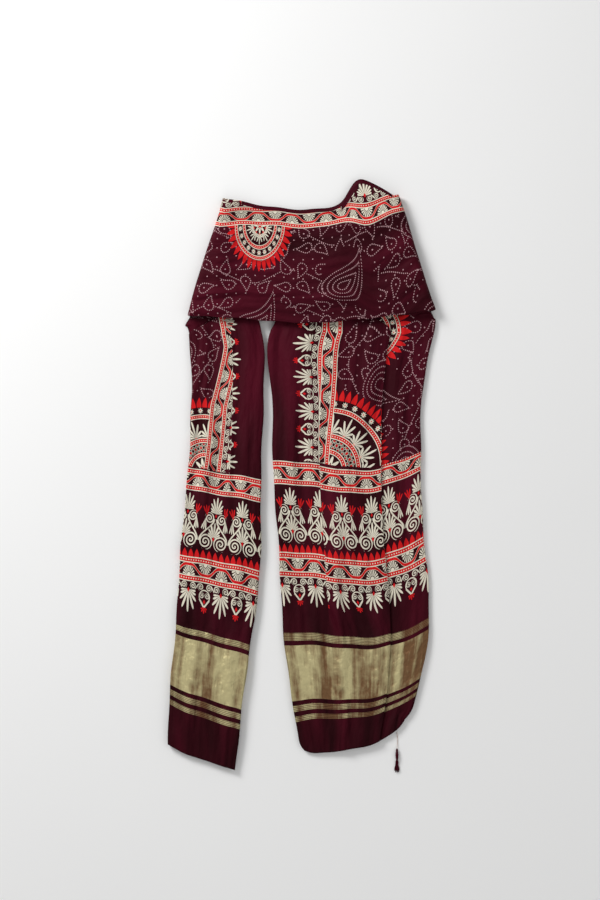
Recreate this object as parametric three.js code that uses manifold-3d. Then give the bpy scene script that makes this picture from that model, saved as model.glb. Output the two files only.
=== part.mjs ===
// A printed silk dupatta, laid out on a flat surface the way it is worn: the middle lies across the top
// with one long edge as the neckline, and both ends come out from under it and run down side by side.
// The cloth is first folded lengthwise, back and forth, into a strip of six layers. The strip is then
// turned over at each shoulder, swings round under the middle and runs down as a leg.
// Millimetres, +Z up, +Y towards the neckline. The origin is on the surface, under the box's middle.

import * as THREE from "three";
import { mergeVertices } from "three/addons/utils/BufferGeometryUtils.js";
import Module from "manifold-3d";

// The cut cloth and how its layers lie.
const CLOTH_WIDTH = 900;
const SHEET = 1.0; // thickness of one layer
const LAYERS = 6;
const PITCH = 1.6; // from one layer's middle to the next one's
const ROLL = 1.5; // radius inside the turn at a shoulder
const STACK = (LAYERS - 1) * PITCH + SHEET;
const ROLL_AXIS = STACK + ROLL;

// How finely the shape is sampled.
const STEPS_PER_ROW = 3;
const ROLL_STEPS = 5;
const STEPS_PER_LAYER = 4;
const STEPS_PER_CREASE = 3;

// Corner tassel: a thread, a slim bound head and a skirt of strands that lie level on the surface.
const TASSEL = {
  x: 168, // where its thread leaves the hem, in the layout
  y: -1000.4,
  thread: 30,
  threadRadius: 0.9,
  headLength: 24,
  headRadius: 2.9,
  skirt: 30, // from the head's middle to the strands' ends
  strandRadius: 0.8,
  strands: 9,
  fan: 0.13, // half the angle over which the strands spread, in radians
};

// Where the strip lies. Each row is one line straight across the strip: the edge side, where both
// selvedges are, and the fold side. crease1 to crease5 are the distances from the neckline selvedge to
// the lengthwise creases. bow is how far the row dips between its ends. On the rows below, lift is how
// much fuller the layers lie there, and droop is how far the top layer sinks at its selvedge. On the
// middle's rows, sag is how far the neckline sinks where nothing lies under it, and reach is the share
// of the row over which it does.
const LEFT_LEG = { crease1: 147, crease2: 295, crease3: 444, crease4: 594, crease5: 745 };
const RIGHT_LEG = { crease1: 265, crease2: 415, crease3: 575, crease4: 671, crease5: 691 };
const MIDDLE = { crease1: 225, crease2: 445, crease3: 663, crease4: 878, crease5: 889 };
const LEFT_SHOULDER = {
  edgeX: -146, edgeY: -6, foldX: -214, foldY: -226, ...MIDDLE, bow: 0, lift: 0, droop: 0, sag: 0, reach: 0.3,
};
const RIGHT_SHOULDER = {
  edgeX: 166, edgeY: 0, foldX: 232, foldY: -217, ...MIDDLE, bow: 0, lift: 0, droop: 0, sag: 0, reach: 0.3,
};

const LEFT_ROWS = [
  { edgeX: -129, edgeY: -1071, foldX: -254, foldY: -1023, ...LEFT_LEG, bow: 4, lift: 0.1, droop: 0 },
  { edgeX: -118, edgeY: -944, foldX: -249, foldY: -897, ...LEFT_LEG, bow: 2, lift: 0.45, droop: 0 },
  { edgeX: -90, edgeY: -757, foldX: -236, foldY: -724, ...LEFT_LEG, bow: 0, lift: 0.15, droop: 0 },
  { edgeX: -83, edgeY: -570, foldX: -223, foldY: -545, ...LEFT_LEG, bow: 2, lift: 0.4, droop: 0 },
  { edgeX: -80, edgeY: -383, foldX: -212, foldY: -370, ...LEFT_LEG, bow: 4, lift: 0.15, droop: 0 },
  { edgeX: -80, edgeY: -262, foldX: -220, foldY: -258, ...LEFT_LEG, bow: 2, lift: 0.1, droop: 0 },
  { edgeX: -112, edgeY: -128, foldX: -228, foldY: -240, ...MIDDLE, bow: 0, lift: 0, droop: 0 },
  LEFT_SHOULDER,
];

const MIDDLE_ROWS = [
  LEFT_SHOULDER,
  { edgeX: -72, edgeY: -17, foldX: -104, foldY: -233, ...MIDDLE, bow: 3, sag: 11, reach: 0.65 },
  { edgeX: 8, edgeY: -24, foldX: 8, foldY: -240, ...MIDDLE, bow: 5, sag: 11.5, reach: 0.6 },
  { edgeX: 64, edgeY: -12, foldX: 82, foldY: -234, ...MIDDLE, bow: 4, sag: 10, reach: 0.4 },
  { edgeX: 104, edgeY: 34, foldX: 142, foldY: -228, ...MIDDLE, bow: 2, sag: 8, reach: 0.3 },
  RIGHT_SHOULDER,
];

const RIGHT_ROWS = [
  RIGHT_SHOULDER,
  { edgeX: 56, edgeY: -120, foldX: 238, foldY: -228, ...MIDDLE, bow: 0, lift: 0, droop: 0 },
  { edgeX: -64, edgeY: -252, foldX: 240, foldY: -250, ...RIGHT_LEG, bow: 8, lift: 0.1, droop: 0 },
  { edgeX: -64, edgeY: -383, foldX: 218, foldY: -382, ...RIGHT_LEG, bow: 18, lift: 0.2, droop: 4 },
  { edgeX: -57, edgeY: -570, foldX: 214, foldY: -549, ...RIGHT_LEG, bow: 26, lift: 0.45, droop: 4 },
  { edgeX: -45, edgeY: -757, foldX: 228, foldY: -733, ...RIGHT_LEG, bow: 26, lift: 0.15, droop: 4 },
  { edgeX: -31, edgeY: -907, foldX: 220, foldY: -868, ...RIGHT_LEG, bow: 22, lift: 0.4, droop: 4 },
  { edgeX: -9, edgeY: -1047, foldX: 190, foldY: -985, ...RIGHT_LEG, bow: 16, lift: 0.1, droop: 4 },
];

// A smooth value between table rows, through every row. The creases go from one row's place to the
// next one's without swinging past either.
function between(rows, column, at) {
  const i = Math.min(Math.floor(at), rows.length - 2);
  const t = at - i;
  const value = (n) => rows[THREE.MathUtils.clamp(n, 0, rows.length - 1)][column];
  const [a, b, c, d] = [value(i - 1), value(i), value(i + 1), value(i + 2)];
  if (column.startsWith("crease")) return THREE.MathUtils.lerp(b, c, THREE.MathUtils.smoothstep(t, 0, 1));
  const slopeB = (c - a) / 2;
  const slopeC = (d - b) / 2;
  return (
    b * (2 * t ** 3 - 3 * t ** 2 + 1) +
    slopeB * (t ** 3 - 2 * t ** 2 + t) +
    c * (3 * t ** 2 - 2 * t ** 3) +
    slopeC * (t ** 3 - t ** 2)
  );
}

function rowAt(rows, at) {
  const columns = Object.keys(rows[1]);
  return Object.fromEntries(columns.map((column) => [column, between(rows, column, at)]));
}

// The back-and-forth section of a row. Each point has its place across the strip, its height in the
// stack with the neckline's layer on top, its normal, and the layer that it belongs to.
function sectionOf(row) {
  const creases = [0, row.crease1, row.crease2, row.crease3, row.crease4, row.crease5, CLOTH_WIDTH];
  const radius = PITCH / 2;
  const points = [];
  let across = 0;
  for (let layer = 0; layer < LAYERS; layer++) {
    const way = layer % 2 ? -1 : 1;
    const height = (LAYERS - 1 - layer) * PITCH;
    const end = across + way * (creases[layer + 1] - creases[layer]);
    const first = layer > 0 ? across + way * radius : across;
    const last = layer < LAYERS - 1 ? end - way * radius : end;
    for (let i = 0; i <= STEPS_PER_LAYER; i++) {
      const place = THREE.MathUtils.lerp(first, last, i / STEPS_PER_LAYER);
      points.push({ across: place, height, normalAcross: 0, normalUp: way, layer });
    }
    if (layer < LAYERS - 1) {
      for (let i = 1; i < STEPS_PER_CREASE; i++) {
        const angle = Math.PI / 2 - (Math.PI * i) / STEPS_PER_CREASE;
        points.push({
          across: last + way * radius * Math.cos(angle),
          height: height - radius + radius * Math.sin(angle),
          normalAcross: Math.cos(angle),
          normalUp: way * Math.sin(angle),
          layer,
        });
      }
    }
    across = end;
  }
  return points;
}

// A section's closed outline, once round the sheet. faceSide is 1 on the one face and -1 on the other.
function outlineOf(row) {
  const middle = sectionOf(row);
  const low = Math.min(...middle.map((p) => p.across));
  const high = Math.max(...middle.map((p) => p.across));
  const side = (faceSide) =>
    middle.map((p) => ({
      share: (p.across + (faceSide * p.normalAcross * SHEET) / 2 - low) / (high - low),
      height: p.height + (faceSide * p.normalUp * SHEET) / 2 + SHEET / 2,
      layer: p.layer,
    }));
  return [...side(1), ...side(-1).reverse()];
}

// Where a share of the way from the edge side to the fold side lies in the plan.
function planPoint(row, share) {
  const inside = THREE.MathUtils.clamp(share, 0, 1);
  const dip = row.bow * Math.sin(Math.PI * inside ** 1.5);
  return {
    x: row.edgeX + (row.foldX - row.edgeX) * share,
    y: row.edgeY + (row.foldY - row.edgeY) * share - dip,
  };
}

// On top, the stack lies as it is folded. Below, it lies upside down on the surface.
function upperPoint(row, point) {
  const plan = planPoint(row, point.share);
  const sunk = row.sag * THREE.MathUtils.smoothstep(row.reach - point.share, 0, row.reach);
  return [plan.x, plan.y, ROLL_AXIS + ROLL + point.height - sunk];
}

function lowerPoint(row, point) {
  const plan = planPoint(row, point.share);
  const topLayer = point.layer === LAYERS - 1 ? 1 : 0;
  const sink = topLayer * row.droop * THREE.MathUtils.smoothstep(0.5 - point.share, 0, 0.4);
  return [plan.x, plan.y, (STACK - point.height) * (1 + row.lift) - sink];
}

// The roll that turns the strip over, about the shoulder's own line. outward is 1 at the right
// shoulder and -1 at the left one, and turn runs from 0, on top, to 1, below.
function rolledPoint(row, point, outward, turn) {
  const plan = planPoint(row, point.share);
  const length = Math.hypot(row.foldX - row.edgeX, row.foldY - row.edgeY);
  const radius = ROLL + point.height;
  const reach = (outward * radius * Math.sin(Math.PI * turn)) / length;
  return [
    plan.x - reach * (row.foldY - row.edgeY),
    plan.y + reach * (row.foldX - row.edgeX),
    ROLL_AXIS + radius * Math.cos(Math.PI * turn),
  ];
}

// The closed rings of points along the whole cloth, from the left hem to the right one.
function clothRings() {
  const rings = [];
  const run = (rows, place) => {
    const steps = (rows.length - 1) * STEPS_PER_ROW;
    for (let i = 0; i <= steps; i++) {
      const row = rowAt(rows, i / STEPS_PER_ROW);
      rings.push(outlineOf(row).map((point) => place(row, point)));
    }
  };
  const shoulder = (row, outward, from, to) => {
    for (let i = 1; i < ROLL_STEPS; i++) {
      const turn = THREE.MathUtils.lerp(from, to, i / ROLL_STEPS);
      rings.push(outlineOf(row).map((point) => rolledPoint(row, point, outward, turn)));
    }
  };
  run(LEFT_ROWS, lowerPoint);
  shoulder(LEFT_SHOULDER, -1, 1, 0);
  run(MIDDLE_ROWS, upperPoint);
  shoulder(RIGHT_SHOULDER, 1, 0, 1);
  run(RIGHT_ROWS, lowerPoint);
  return rings;
}

// A closed skin over the rings, with each hem closed across the sheet's thickness.
function skinOf(rings) {
  const size = rings[0].length;
  const positions = rings.flat(2);
  const index = [];
  for (let r = 0; r < rings.length - 1; r++) {
    for (let i = 0; i < size; i++) {
      const a = r * size + i;
      const b = r * size + ((i + 1) % size);
      index.push(a, b, a + size, b, b + size, a + size);
    }
  }
  const lastRing = (rings.length - 1) * size;
  for (let i = 0; i < size / 2 - 1; i++) {
    const j = size - 1 - i;
    index.push(i, j, i + 1, i + 1, j, j - 1);
    index.push(lastRing + i, lastRing + i + 1, lastRing + j);
    index.push(lastRing + i + 1, lastRing + j - 1, lastRing + j);
  }
  const geometry = new THREE.BufferGeometry();
  geometry.setAttribute("position", new THREE.Float32BufferAttribute(positions, 3));
  geometry.setIndex(index);
  return geometry;
}

// A closed solid of any closed geometry, once its shared vertices are merged.
const wasm = await Module();
wasm.setup();
function solidOf(geometry) {
  geometry.deleteAttribute("normal");
  geometry.deleteAttribute("uv");
  const merged = mergeVertices(geometry, 1e-4);
  return new wasm.Manifold(
    new wasm.Mesh({
      numProp: 3,
      vertProperties: merged.attributes.position.array,
      triVerts: new Uint32Array(merged.index.array),
    }),
  );
}

function geometryOf(solid) {
  const mesh = solid.getMesh();
  const geometry = new THREE.BufferGeometry();
  geometry.setAttribute("position", new THREE.BufferAttribute(mesh.vertProperties, 3));
  geometry.setIndex(new THREE.BufferAttribute(mesh.triVerts, 1));
  return geometry;
}

// A round or few-sided rod along a path.
function rodAlong(points, radius, sides, steps) {
  const corners = Array.from({ length: sides }, (_, i) => {
    const angle = (2 * Math.PI * i) / sides;
    return new THREE.Vector2(radius * Math.cos(angle), radius * Math.sin(angle));
  });
  const path = new THREE.CatmullRomCurve3(points.map((p) => new THREE.Vector3(...p)));
  return new THREE.ExtrudeGeometry(new THREE.Shape(corners), { steps, extrudePath: path });
}

// The tassel, from its thread at the hem, which is at the origin, down along -Y.
function tasselSolid() {
  const { thread, threadRadius, headLength, headRadius, skirt, strandRadius } = TASSEL;
  const headMiddle = -thread - headLength / 2;
  const head = new THREE.SphereGeometry(1, 14, 10);
  head.scale(headRadius, headLength / 2, headRadius);
  head.translate(0, headMiddle, headRadius);
  const lace = rodAlong(
    [
      [0, 0, threadRadius],
      [1.5, -thread / 2, threadRadius],
      [0, headMiddle, headRadius],
    ],
    threadRadius,
    6,
    8,
  );
  let solid = solidOf(head).add(solidOf(lace));
  for (let i = 0; i < TASSEL.strands; i++) {
    const share = (2 * i) / (TASSEL.strands - 1) - 1;
    const angle = TASSEL.fan * share;
    const length = skirt * (1 - 0.18 * share * share + 0.06 * Math.sin(5 * i));
    const point = (along, height) => [
      along * Math.sin(angle) + share * headRadius * 0.55,
      headMiddle - along * Math.cos(angle),
      height,
    ];
    const strand = rodAlong(
      [
        point(0, headRadius),
        point(headLength * 0.6, strandRadius * 1.6),
        point(length * 0.7, strandRadius),
        point(length, strandRadius),
      ],
      strandRadius,
      4,
      6,
    );
    solid = solid.add(solidOf(strand));
  }
  return solid;
}

// The tassel lies on the surface at the hem's corner, and the origin goes under the whole box's middle.
const clothGeometry = skinOf(clothRings());
const tasselGeometry = geometryOf(tasselSolid());
tasselGeometry.computeBoundingBox();
tasselGeometry.translate(TASSEL.x, TASSEL.y, -tasselGeometry.boundingBox.min.z);
const whole = new THREE.Box3();
for (const geometry of [clothGeometry, tasselGeometry]) {
  geometry.computeBoundingBox();
  whole.union(geometry.boundingBox);
}
const middle = whole.getCenter(new THREE.Vector3());
for (const geometry of [clothGeometry, tasselGeometry]) {
  geometry.translate(-middle.x, -middle.y, 0);
  geometry.computeVertexNormals();
}

const cloth = new THREE.Mesh(
  clothGeometry,
  new THREE.MeshStandardMaterial({ color: 0x4a0f1b, roughness: 0.6, metalness: 0 }),
);
cloth.name = "dupatta_cloth";

const tassel = new THREE.Mesh(
  tasselGeometry,
  new THREE.MeshStandardMaterial({ color: 0x1c0a10, roughness: 0.8, metalness: 0 }),
);
tassel.name = "corner_tassel";

const dupatta = new THREE.Group();
dupatta.name = "ajrakh_dupatta";
dupatta.add(cloth, tassel);

export default dupatta;
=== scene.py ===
"""A printed silk dupatta, laid out on a pale floor the way it is worn.

The cloth is one sheet, folded lengthwise back and forth into a strip of six layers. The strip's middle
lies across the top with one long edge as the neckline. At each shoulder it is turned over, swings round
under the middle and runs down as a leg. Its print is worked out in the cloth's own flat measure: how
far along the length, and how far across the width, each point lies.
"""

import functools
import math

import bmesh
import bpy
import numpy as np
from bpy.props import FloatProperty, FloatVectorProperty, PointerProperty
from mathutils import Matrix, Vector


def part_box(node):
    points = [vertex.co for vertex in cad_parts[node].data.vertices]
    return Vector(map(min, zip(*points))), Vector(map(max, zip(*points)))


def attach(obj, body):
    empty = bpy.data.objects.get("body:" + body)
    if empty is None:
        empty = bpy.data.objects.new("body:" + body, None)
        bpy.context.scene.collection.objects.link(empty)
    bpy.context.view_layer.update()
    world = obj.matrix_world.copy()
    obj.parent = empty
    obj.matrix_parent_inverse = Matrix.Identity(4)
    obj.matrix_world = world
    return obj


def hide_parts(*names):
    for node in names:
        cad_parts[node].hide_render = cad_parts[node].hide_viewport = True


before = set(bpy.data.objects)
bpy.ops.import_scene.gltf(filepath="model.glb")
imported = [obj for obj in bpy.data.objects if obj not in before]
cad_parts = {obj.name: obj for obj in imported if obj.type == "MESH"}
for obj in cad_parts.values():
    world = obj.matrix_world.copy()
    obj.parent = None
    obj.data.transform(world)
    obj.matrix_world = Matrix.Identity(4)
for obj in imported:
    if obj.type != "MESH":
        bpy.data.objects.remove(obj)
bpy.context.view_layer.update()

bl_info = {
    "name": "Printed Dupatta",
    "version": (1, 0, 0),
    "blender": (4, 5, 0),
    "location": "3D View > Sidebar > Dupatta",
    "description": "A folded silk dupatta with a block print, woven gold bands and a corner tassel",
    "category": "Add Mesh",
}

MM = 0.001

# The cloth and its fold, in millimetres, as the solid has them.
CLOTH_WIDTH = 900
CLOTH_LENGTH = 2500
SHEET = 1.0  # thickness of one layer
LAYERS = 6
PITCH = 1.6  # from one layer's middle to the next one's
ROLL = 1.5  # radius inside the turn at a shoulder
STACK = (LAYERS - 1) * PITCH + SHEET
ROLL_AXIS = STACK + ROLL
CREASE_RADIUS = PITCH / 2

# Where the strip lies. Each row is a line straight across it, from the edge side, where both selvedges
# are, to the fold side. Then come the distances from the neckline selvedge to the five creases, how
# far the row dips between its ends, how much fuller the layers lie, how far the top layer sinks at its
# selvedge, how far the neckline sinks and over what share of the row, and how much of the edge is
# turned in there.
COLUMNS = (
    "edge_x", "edge_y", "fold_x", "fold_y", "crease_1", "crease_2", "crease_3", "crease_4", "crease_5",
    "bow", "lift", "droop", "sag", "reach", "turned",
)
LEFT_LEG = (147, 295, 444, 594, 745)
RIGHT_LEG = (265, 415, 575, 671, 691)
MIDDLE = (225, 445, 663, 878, 889)
LEFT_SHOULDER = (-146, -6, -214, -226, *MIDDLE, 0, 0, 0, 0, 0.3, 71)
RIGHT_SHOULDER = (166, 0, 232, -217, *MIDDLE, 0, 0, 0, 0, 0.3, 92)
LEFT_ROWS = (
    (-129, -1071, -254, -1023, *LEFT_LEG, 4, 0.1, 0, 0, 0.3, 0),
    (-118, -944, -249, -897, *LEFT_LEG, 2, 0.45, 0, 0, 0.3, 0),
    (-90, -757, -236, -724, *LEFT_LEG, 0, 0.15, 0, 0, 0.3, 0),
    (-83, -570, -223, -545, *LEFT_LEG, 2, 0.4, 0, 0, 0.3, 0),
    (-80, -383, -212, -370, *LEFT_LEG, 4, 0.15, 0, 0, 0.3, 0),
    (-80, -262, -220, -258, *LEFT_LEG, 2, 0.1, 0, 0, 0.3, 0),
    (-112, -128, -228, -240, *MIDDLE, 0, 0, 0, 0, 0.3, 26),
    LEFT_SHOULDER,
)
MIDDLE_ROWS = (
    LEFT_SHOULDER,
    (-72, -17, -104, -233, *MIDDLE, 3, 0, 0, 11, 0.65, 87),
    (8, -24, 8, -240, *MIDDLE, 5, 0, 0, 11.5, 0.6, 88),
    (64, -12, 82, -234, *MIDDLE, 4, 0, 0, 10, 0.4, 87),
    (104, 34, 142, -228, *MIDDLE, 2, 0, 0, 8, 0.3, 50),
    RIGHT_SHOULDER,
)
RIGHT_ROWS = (
    RIGHT_SHOULDER,
    (56, -120, 238, -228, *MIDDLE, 0, 0, 0, 0, 0.3, 10),
    (-64, -252, 240, -250, *RIGHT_LEG, 8, 0.1, 0, 0, 0.3, 0),
    (-64, -383, 218, -382, *RIGHT_LEG, 18, 0.2, 4, 0, 0.3, 0),
    (-57, -570, 214, -549, *RIGHT_LEG, 26, 0.45, 4, 0, 0.3, 0),
    (-45, -757, 228, -733, *RIGHT_LEG, 26, 0.15, 4, 0, 0.3, 0),
    (-31, -907, 220, -868, *RIGHT_LEG, 22, 0.4, 4, 0, 0.3, 0),
    (-9, -1047, 190, -985, *RIGHT_LEG, 16, 0.1, 4, 0, 0.3, 0),
)
# The right leg's two hem corners, each with the ways along the hem and up its side, and how round.
HEM_CORNERS = (((-9, -1047), (199, 62), (-22, 140)), ((190, -985), (-199, -62), (30, 117)))
CORNER_ROUND = 34
LEFT_LEG_TOP, RIGHT_LEG_TOP = 5, 2  # the rows where the legs go in under the middle
LEG_LENGTH = 860  # how much of the cloth's length can show in a leg
MIDDLE_ROW, MIDDLE_PLACE = 2, 1219  # one of the middle's rows, and its place along the cloth
ROLL_LENGTH = 30  # how much cloth the roll at a shoulder takes
CARRY_END, CARRY_FADE = 60, 35  # how far above a leg its print carries on, and over what it fades

# How many cells the sheet has across each layer and each crease, and along each zone.
LAYER_CELLS = (30, 5, 5, 14, 3, 30)
CREASE_CELLS = 4
LEG_CELLS = 112
HIDDEN_CELLS = 14
ROLL_CELLS = 8
MIDDLE_CELLS = 60

# How the layers follow the soft folds.
LOWEST = 0.35  # how near the floor the middle of a layer may lie
TROUGH = -0.7  # the greatest depth between two folds
CREASE_FADE = 14  # over what distance from a crease the folds fade
BENEATH_SHARE = 0.25  # how much of a fold the layers beneath take up, in the middle
HIDDEN_SHARE = 0.2  # the same in a leg
LEG_FOLDS_FROM = (225, 275)  # how far below the neckline the legs' folds set in, and are whole
SECOND_LAYER, SECOND_SHOWS = 3, 0.76  # a leg's other layer that shows, and from what share of the row

# Soft folds, given one by one: x and y where each starts and ends, how high it stands, and how wide it
# is. The first list lies on the middle, the second on the legs.
MIDDLE_FOLDS = (
    (-150, -75, -178, -232, 4.2, 16),
    (-112, -70, -122, -236, -2.6, 15),
    (-60, -28, -40, -120, 2.2, 14),
    (30, -95, 215, -62, -3.2, 16),
    (-10, -205, 210, -160, 4.2, 20),
    (150, -10, 205, -150, 3.5, 13),
    (70, -130, 190, -110, 2.6, 14),
    (-170, -120, -60, -215, 2.9, 15),
)
LEG_FOLDS = (
    (-178, -300, -214, -1000, 4.8, 10),
    (-140, -330, -165, -900, -3.3, 12),
    (-112, -430, -150, -1050, 4.5, 9),
    (-30, -250, -26, -620, 3.9, 12),
    (28, -270, 38, -600, -3.6, 13),
    (50, -500, 72, -1045, 6.9, 8),
    (108, -560, 112, -1020, -3.9, 11),
    (92, -270, 84, -600, 4.5, 12),
    (176, -262, 172, -520, 3.9, 11),
    (200, -430, 205, -900, 4.5, 9),
    (8, -700, 26, -1035, 3.9, 9),
    (140, -600, 132, -1010, 3.6, 9),
)
# How the print sits along each leg: how far a place is from the hem along the leg, and how far it is
# from the hem along the flat cloth. The rest is taken up in creases.
LEFT_SLACK = ((0, 0), (231, 231), (236, 259), (1200, 1223))
RIGHT_SLACK = ((0, 6), (62, 75), (216, 231), (262, 280), (300, 322), (1200, 1222))
# Slips of the print where a fold hides some of it: the leg, the layer beyond the fold, the distance
# from the neckline selvedge that the fold lies at, and, for places from the hem, how much cloth it
# hides and how far the print beyond it lies from the hem's own line.
SLIPS = (
    ("right", 5, 812, (240, 300, 560, 720), (0, 16, 16, 0), (0, -3, -3, 0)),
    ("right", 3, 900, (0, 231, 300, 560, 760), (0, 0, 0, 0, 0), (-4, -2, 3, 7, 7)),
    ("left", 5, 2000, (250, 400), (0, -7), (0, 0)),
    ("left", 5, 834, (400, 560, 680, 790), (0, 10, 18, 46), (0, 0, 0, 0)),
)
# How wide the edge shows along the neckline before the rest is turned in: the neckline's x, and the
# width.
LIP = ((-146, 2), (-120, 2), (-100, 9), (60, 9), (80, 16), (104, 9), (166, 3))
LIP_FROM = 12  # how much has to be turned in for such a lip
LIP_REACH, SLIP_REACH = 3.5, 3  # how far before a boundary a face still counts as past it


def mixed(a, b, share):
    """What lies a share of the way from a to b."""
    return a + (b - a) * share


def between(rows, at):
    """Every column of a table at a place between its rows. Creases don't swing past their values."""
    table = np.array(rows, dtype=float)
    i = min(int(at), len(rows) - 2)
    t = at - i
    a, b, c, d = (table[min(max(n, 0), len(rows) - 1)] for n in (i - 1, i, i + 1, i + 2))
    smooth = (
        b * (2 * t**3 - 3 * t**2 + 1)
        + (c - a) / 2 * (t**3 - 2 * t**2 + t)
        + c * (3 * t**2 - 2 * t**3)
        + (d - b) / 2 * (t**3 - t**2)
    )
    steady = mixed(b, c, 3 * t**2 - 2 * t**3)
    first, last = COLUMNS.index("crease_1"), COLUMNS.index("crease_5") + 1
    smooth[first:last] = steady[first:last]
    return dict(zip(COLUMNS, smooth))


def smoothstep(x, low, high):
    """0 below low and 1 above high, with a soft step between them."""
    t = np.clip((x - low) / (high - low), 0, 1)
    return t * t * (3 - 2 * t)


def section(row):
    """Where each column of the sheet lies in a row: the share of the way to the fold side, the height
    in the stack, the distance from the neckline selvedge, and the layer."""
    creases = [0, *(row[f"crease_{n}"] for n in range(1, LAYERS)), CLOTH_WIDTH]
    points = []
    across = 0.0
    for layer in range(LAYERS):
        way = -1 if layer % 2 else 1
        height = (LAYERS - 1 - layer) * PITCH
        width = creases[layer + 1] - creases[layer]
        first = CREASE_RADIUS if layer > 0 else 0
        last = width - (CREASE_RADIUS if layer < LAYERS - 1 else 0)
        for t in np.linspace(first, last, LAYER_CELLS[layer] + 1):
            points.append((across + way * t, height, creases[layer] + t, layer))
        if layer < LAYERS - 1:
            for i in range(1, CREASE_CELLS):
                angle = math.pi * (0.5 - i / CREASE_CELLS)
                points.append((
                    across + way * (last + CREASE_RADIUS * math.cos(angle)),
                    height - CREASE_RADIUS * (1 - math.sin(angle)),
                    creases[layer] + last + 2 * CREASE_RADIUS * i / CREASE_CELLS,
                    layer,
                ))
        across += way * width
    across, height, distance, layer = np.array(points).T
    share = (across - across.min()) / (across.max() - across.min())
    return share, height, distance, layer


def fold_height(x, y, folds):
    """How high the soft folds stand at a place in the plan."""
    total = np.zeros_like(x)
    for x0, y0, x1, y1, rise, width in folds:
        length = math.hypot(x1 - x0, y1 - y0)
        dx, dy = (x1 - x0) / length, (y1 - y0) / length
        along = (x - x0) * dx + (y - y0) * dy
        beside = -(x - x0) * dy + (y - y0) * dx + 3.0 * np.sin(along / 31.0)
        ends = smoothstep(along, -20, 60) * smoothstep(length - along, -20, 60)
        total += rise * ends * np.exp(-((beside / width) ** 2))
    return np.maximum(total, TROUGH)


def plan(row, share):
    """The place of a share of a row in the plan, with the slight waver of a real edge."""
    dip = row["bow"] * np.sin(np.pi * np.clip(share, 0, 1) ** 1.5)
    x = mixed(row["edge_x"], row["fold_x"], share)
    y = mixed(row["edge_y"], row["fold_y"], share) - dip
    waver = 1.4 * np.sin(y / 47.0) + 0.9 * np.sin(y / 19.0 + 1.3)
    return x + waver * (2 * share - 1), y + 0.9 * np.sin(x / 11.0) + 0.7 * np.sin(x / 27.0 + 0.6)


def curved_in(points, corner, along_hem, up_side):
    """The points with a square corner of the sheet drawn into a round one."""
    sides = np.array([along_hem, up_side], dtype=float)
    sides /= np.linalg.norm(sides, axis=1, keepdims=True)
    inward = (points[:, :2] - corner) @ np.linalg.inv(sides)
    left = CORNER_ROUND - inward
    drawn = left * (left.max(axis=1) / np.linalg.norm(left, axis=1))[:, None]
    left = np.where((left > 0).all(axis=1)[:, None], drawn, left)
    return np.column_stack([corner + (CORNER_ROUND - left) @ sides, points[:, 2]])


def upper_ring(row, cut):
    """A ring of the middle, which lies on top."""
    share, height, distance, layer = cut
    x, y = plan(row, share)
    sunk = row["sag"] * smoothstep(row["reach"] - share, 0, row["reach"])
    near = smoothstep(distance, row["crease_1"] - CREASE_FADE, row["crease_1"])
    full = np.where(layer == 0, mixed(1, BENEATH_SHARE, near), BENEATH_SHARE)
    z = ROLL_AXIS + ROLL + height + SHEET / 2 - sunk + full * fold_height(x, y, MIDDLE_FOLDS)
    return np.stack([x, y, z], axis=1)


def lower_ring(row, cut):
    """A ring of a leg or of a hidden turn, where the stack lies upside down."""
    share, height, distance, layer = cut
    x, y = plan(row, share)
    up = STACK - height - SHEET / 2
    top = layer == LAYERS - 1
    sunk = np.where(top, row["droop"] * smoothstep(0.5 - share, 0, 0.4), 0)
    near = smoothstep(distance - np.where(top, row["crease_5"], row["crease_3"]), 0, CREASE_FADE)
    shows = top | ((layer == SECOND_LAYER) & (share > SECOND_SHOWS))
    full = np.where(shows, mixed(HIDDEN_SHARE, 1, near), HIDDEN_SHARE)
    folds = smoothstep(-y, *LEG_FOLDS_FROM) * full * fold_height(x, y, LEG_FOLDS)
    z = up * (1 + row["lift"]) - sunk + folds
    return np.stack([x, y, np.maximum(z, LOWEST)], axis=1)


def rolled_ring(row, cut, outward, turn):
    """A ring in the roll at a shoulder, turned from 0, on top, to 1, below."""
    share, height = cut[:2]
    x, y = plan(row, share)
    run_x, run_y = row["fold_x"] - row["edge_x"], row["fold_y"] - row["edge_y"]
    radius = ROLL + height + SHEET / 2
    reach = outward * radius * math.sin(math.pi * turn) / math.hypot(run_x, run_y)
    up, down = upper_ring(row, cut)[:, 2], lower_ring(row, cut)[:, 2]
    middle, half = (up + down) / 2, (up - down) / 2
    return np.stack(
        [x - reach * run_y, y + reach * run_x, middle + half * math.cos(math.pi * turn)], axis=1
    )


def sampled(rows, places):
    """A table's rows at the places, and how far each is from the first, on the edge and fold sides."""
    fine = [between(rows, at) for at in places]
    ends = [[(row[f"{side}_x"], row[f"{side}_y"]) for row in fine] for side in ("edge", "fold")]
    steps = [np.hypot(*np.diff(side, axis=0).T) for side in ends]
    return fine, *(np.concatenate([[0], np.cumsum(step)]) for step in steps)


def new_ring(points, along, row, cut):
    """A line of points across the sheet, with what the print needs."""
    share, _, distance, layer = cut
    return {
        "points": points,
        "along": np.broadcast_to(along, share.shape).astype(float),
        "distance": distance,
        "layer": layer,
        "turned": row["turned"],
        "lip": np.interp(row["edge_x"], *zip(*LIP)) if row["turned"] > LIP_FROM else 0,
    }


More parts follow.
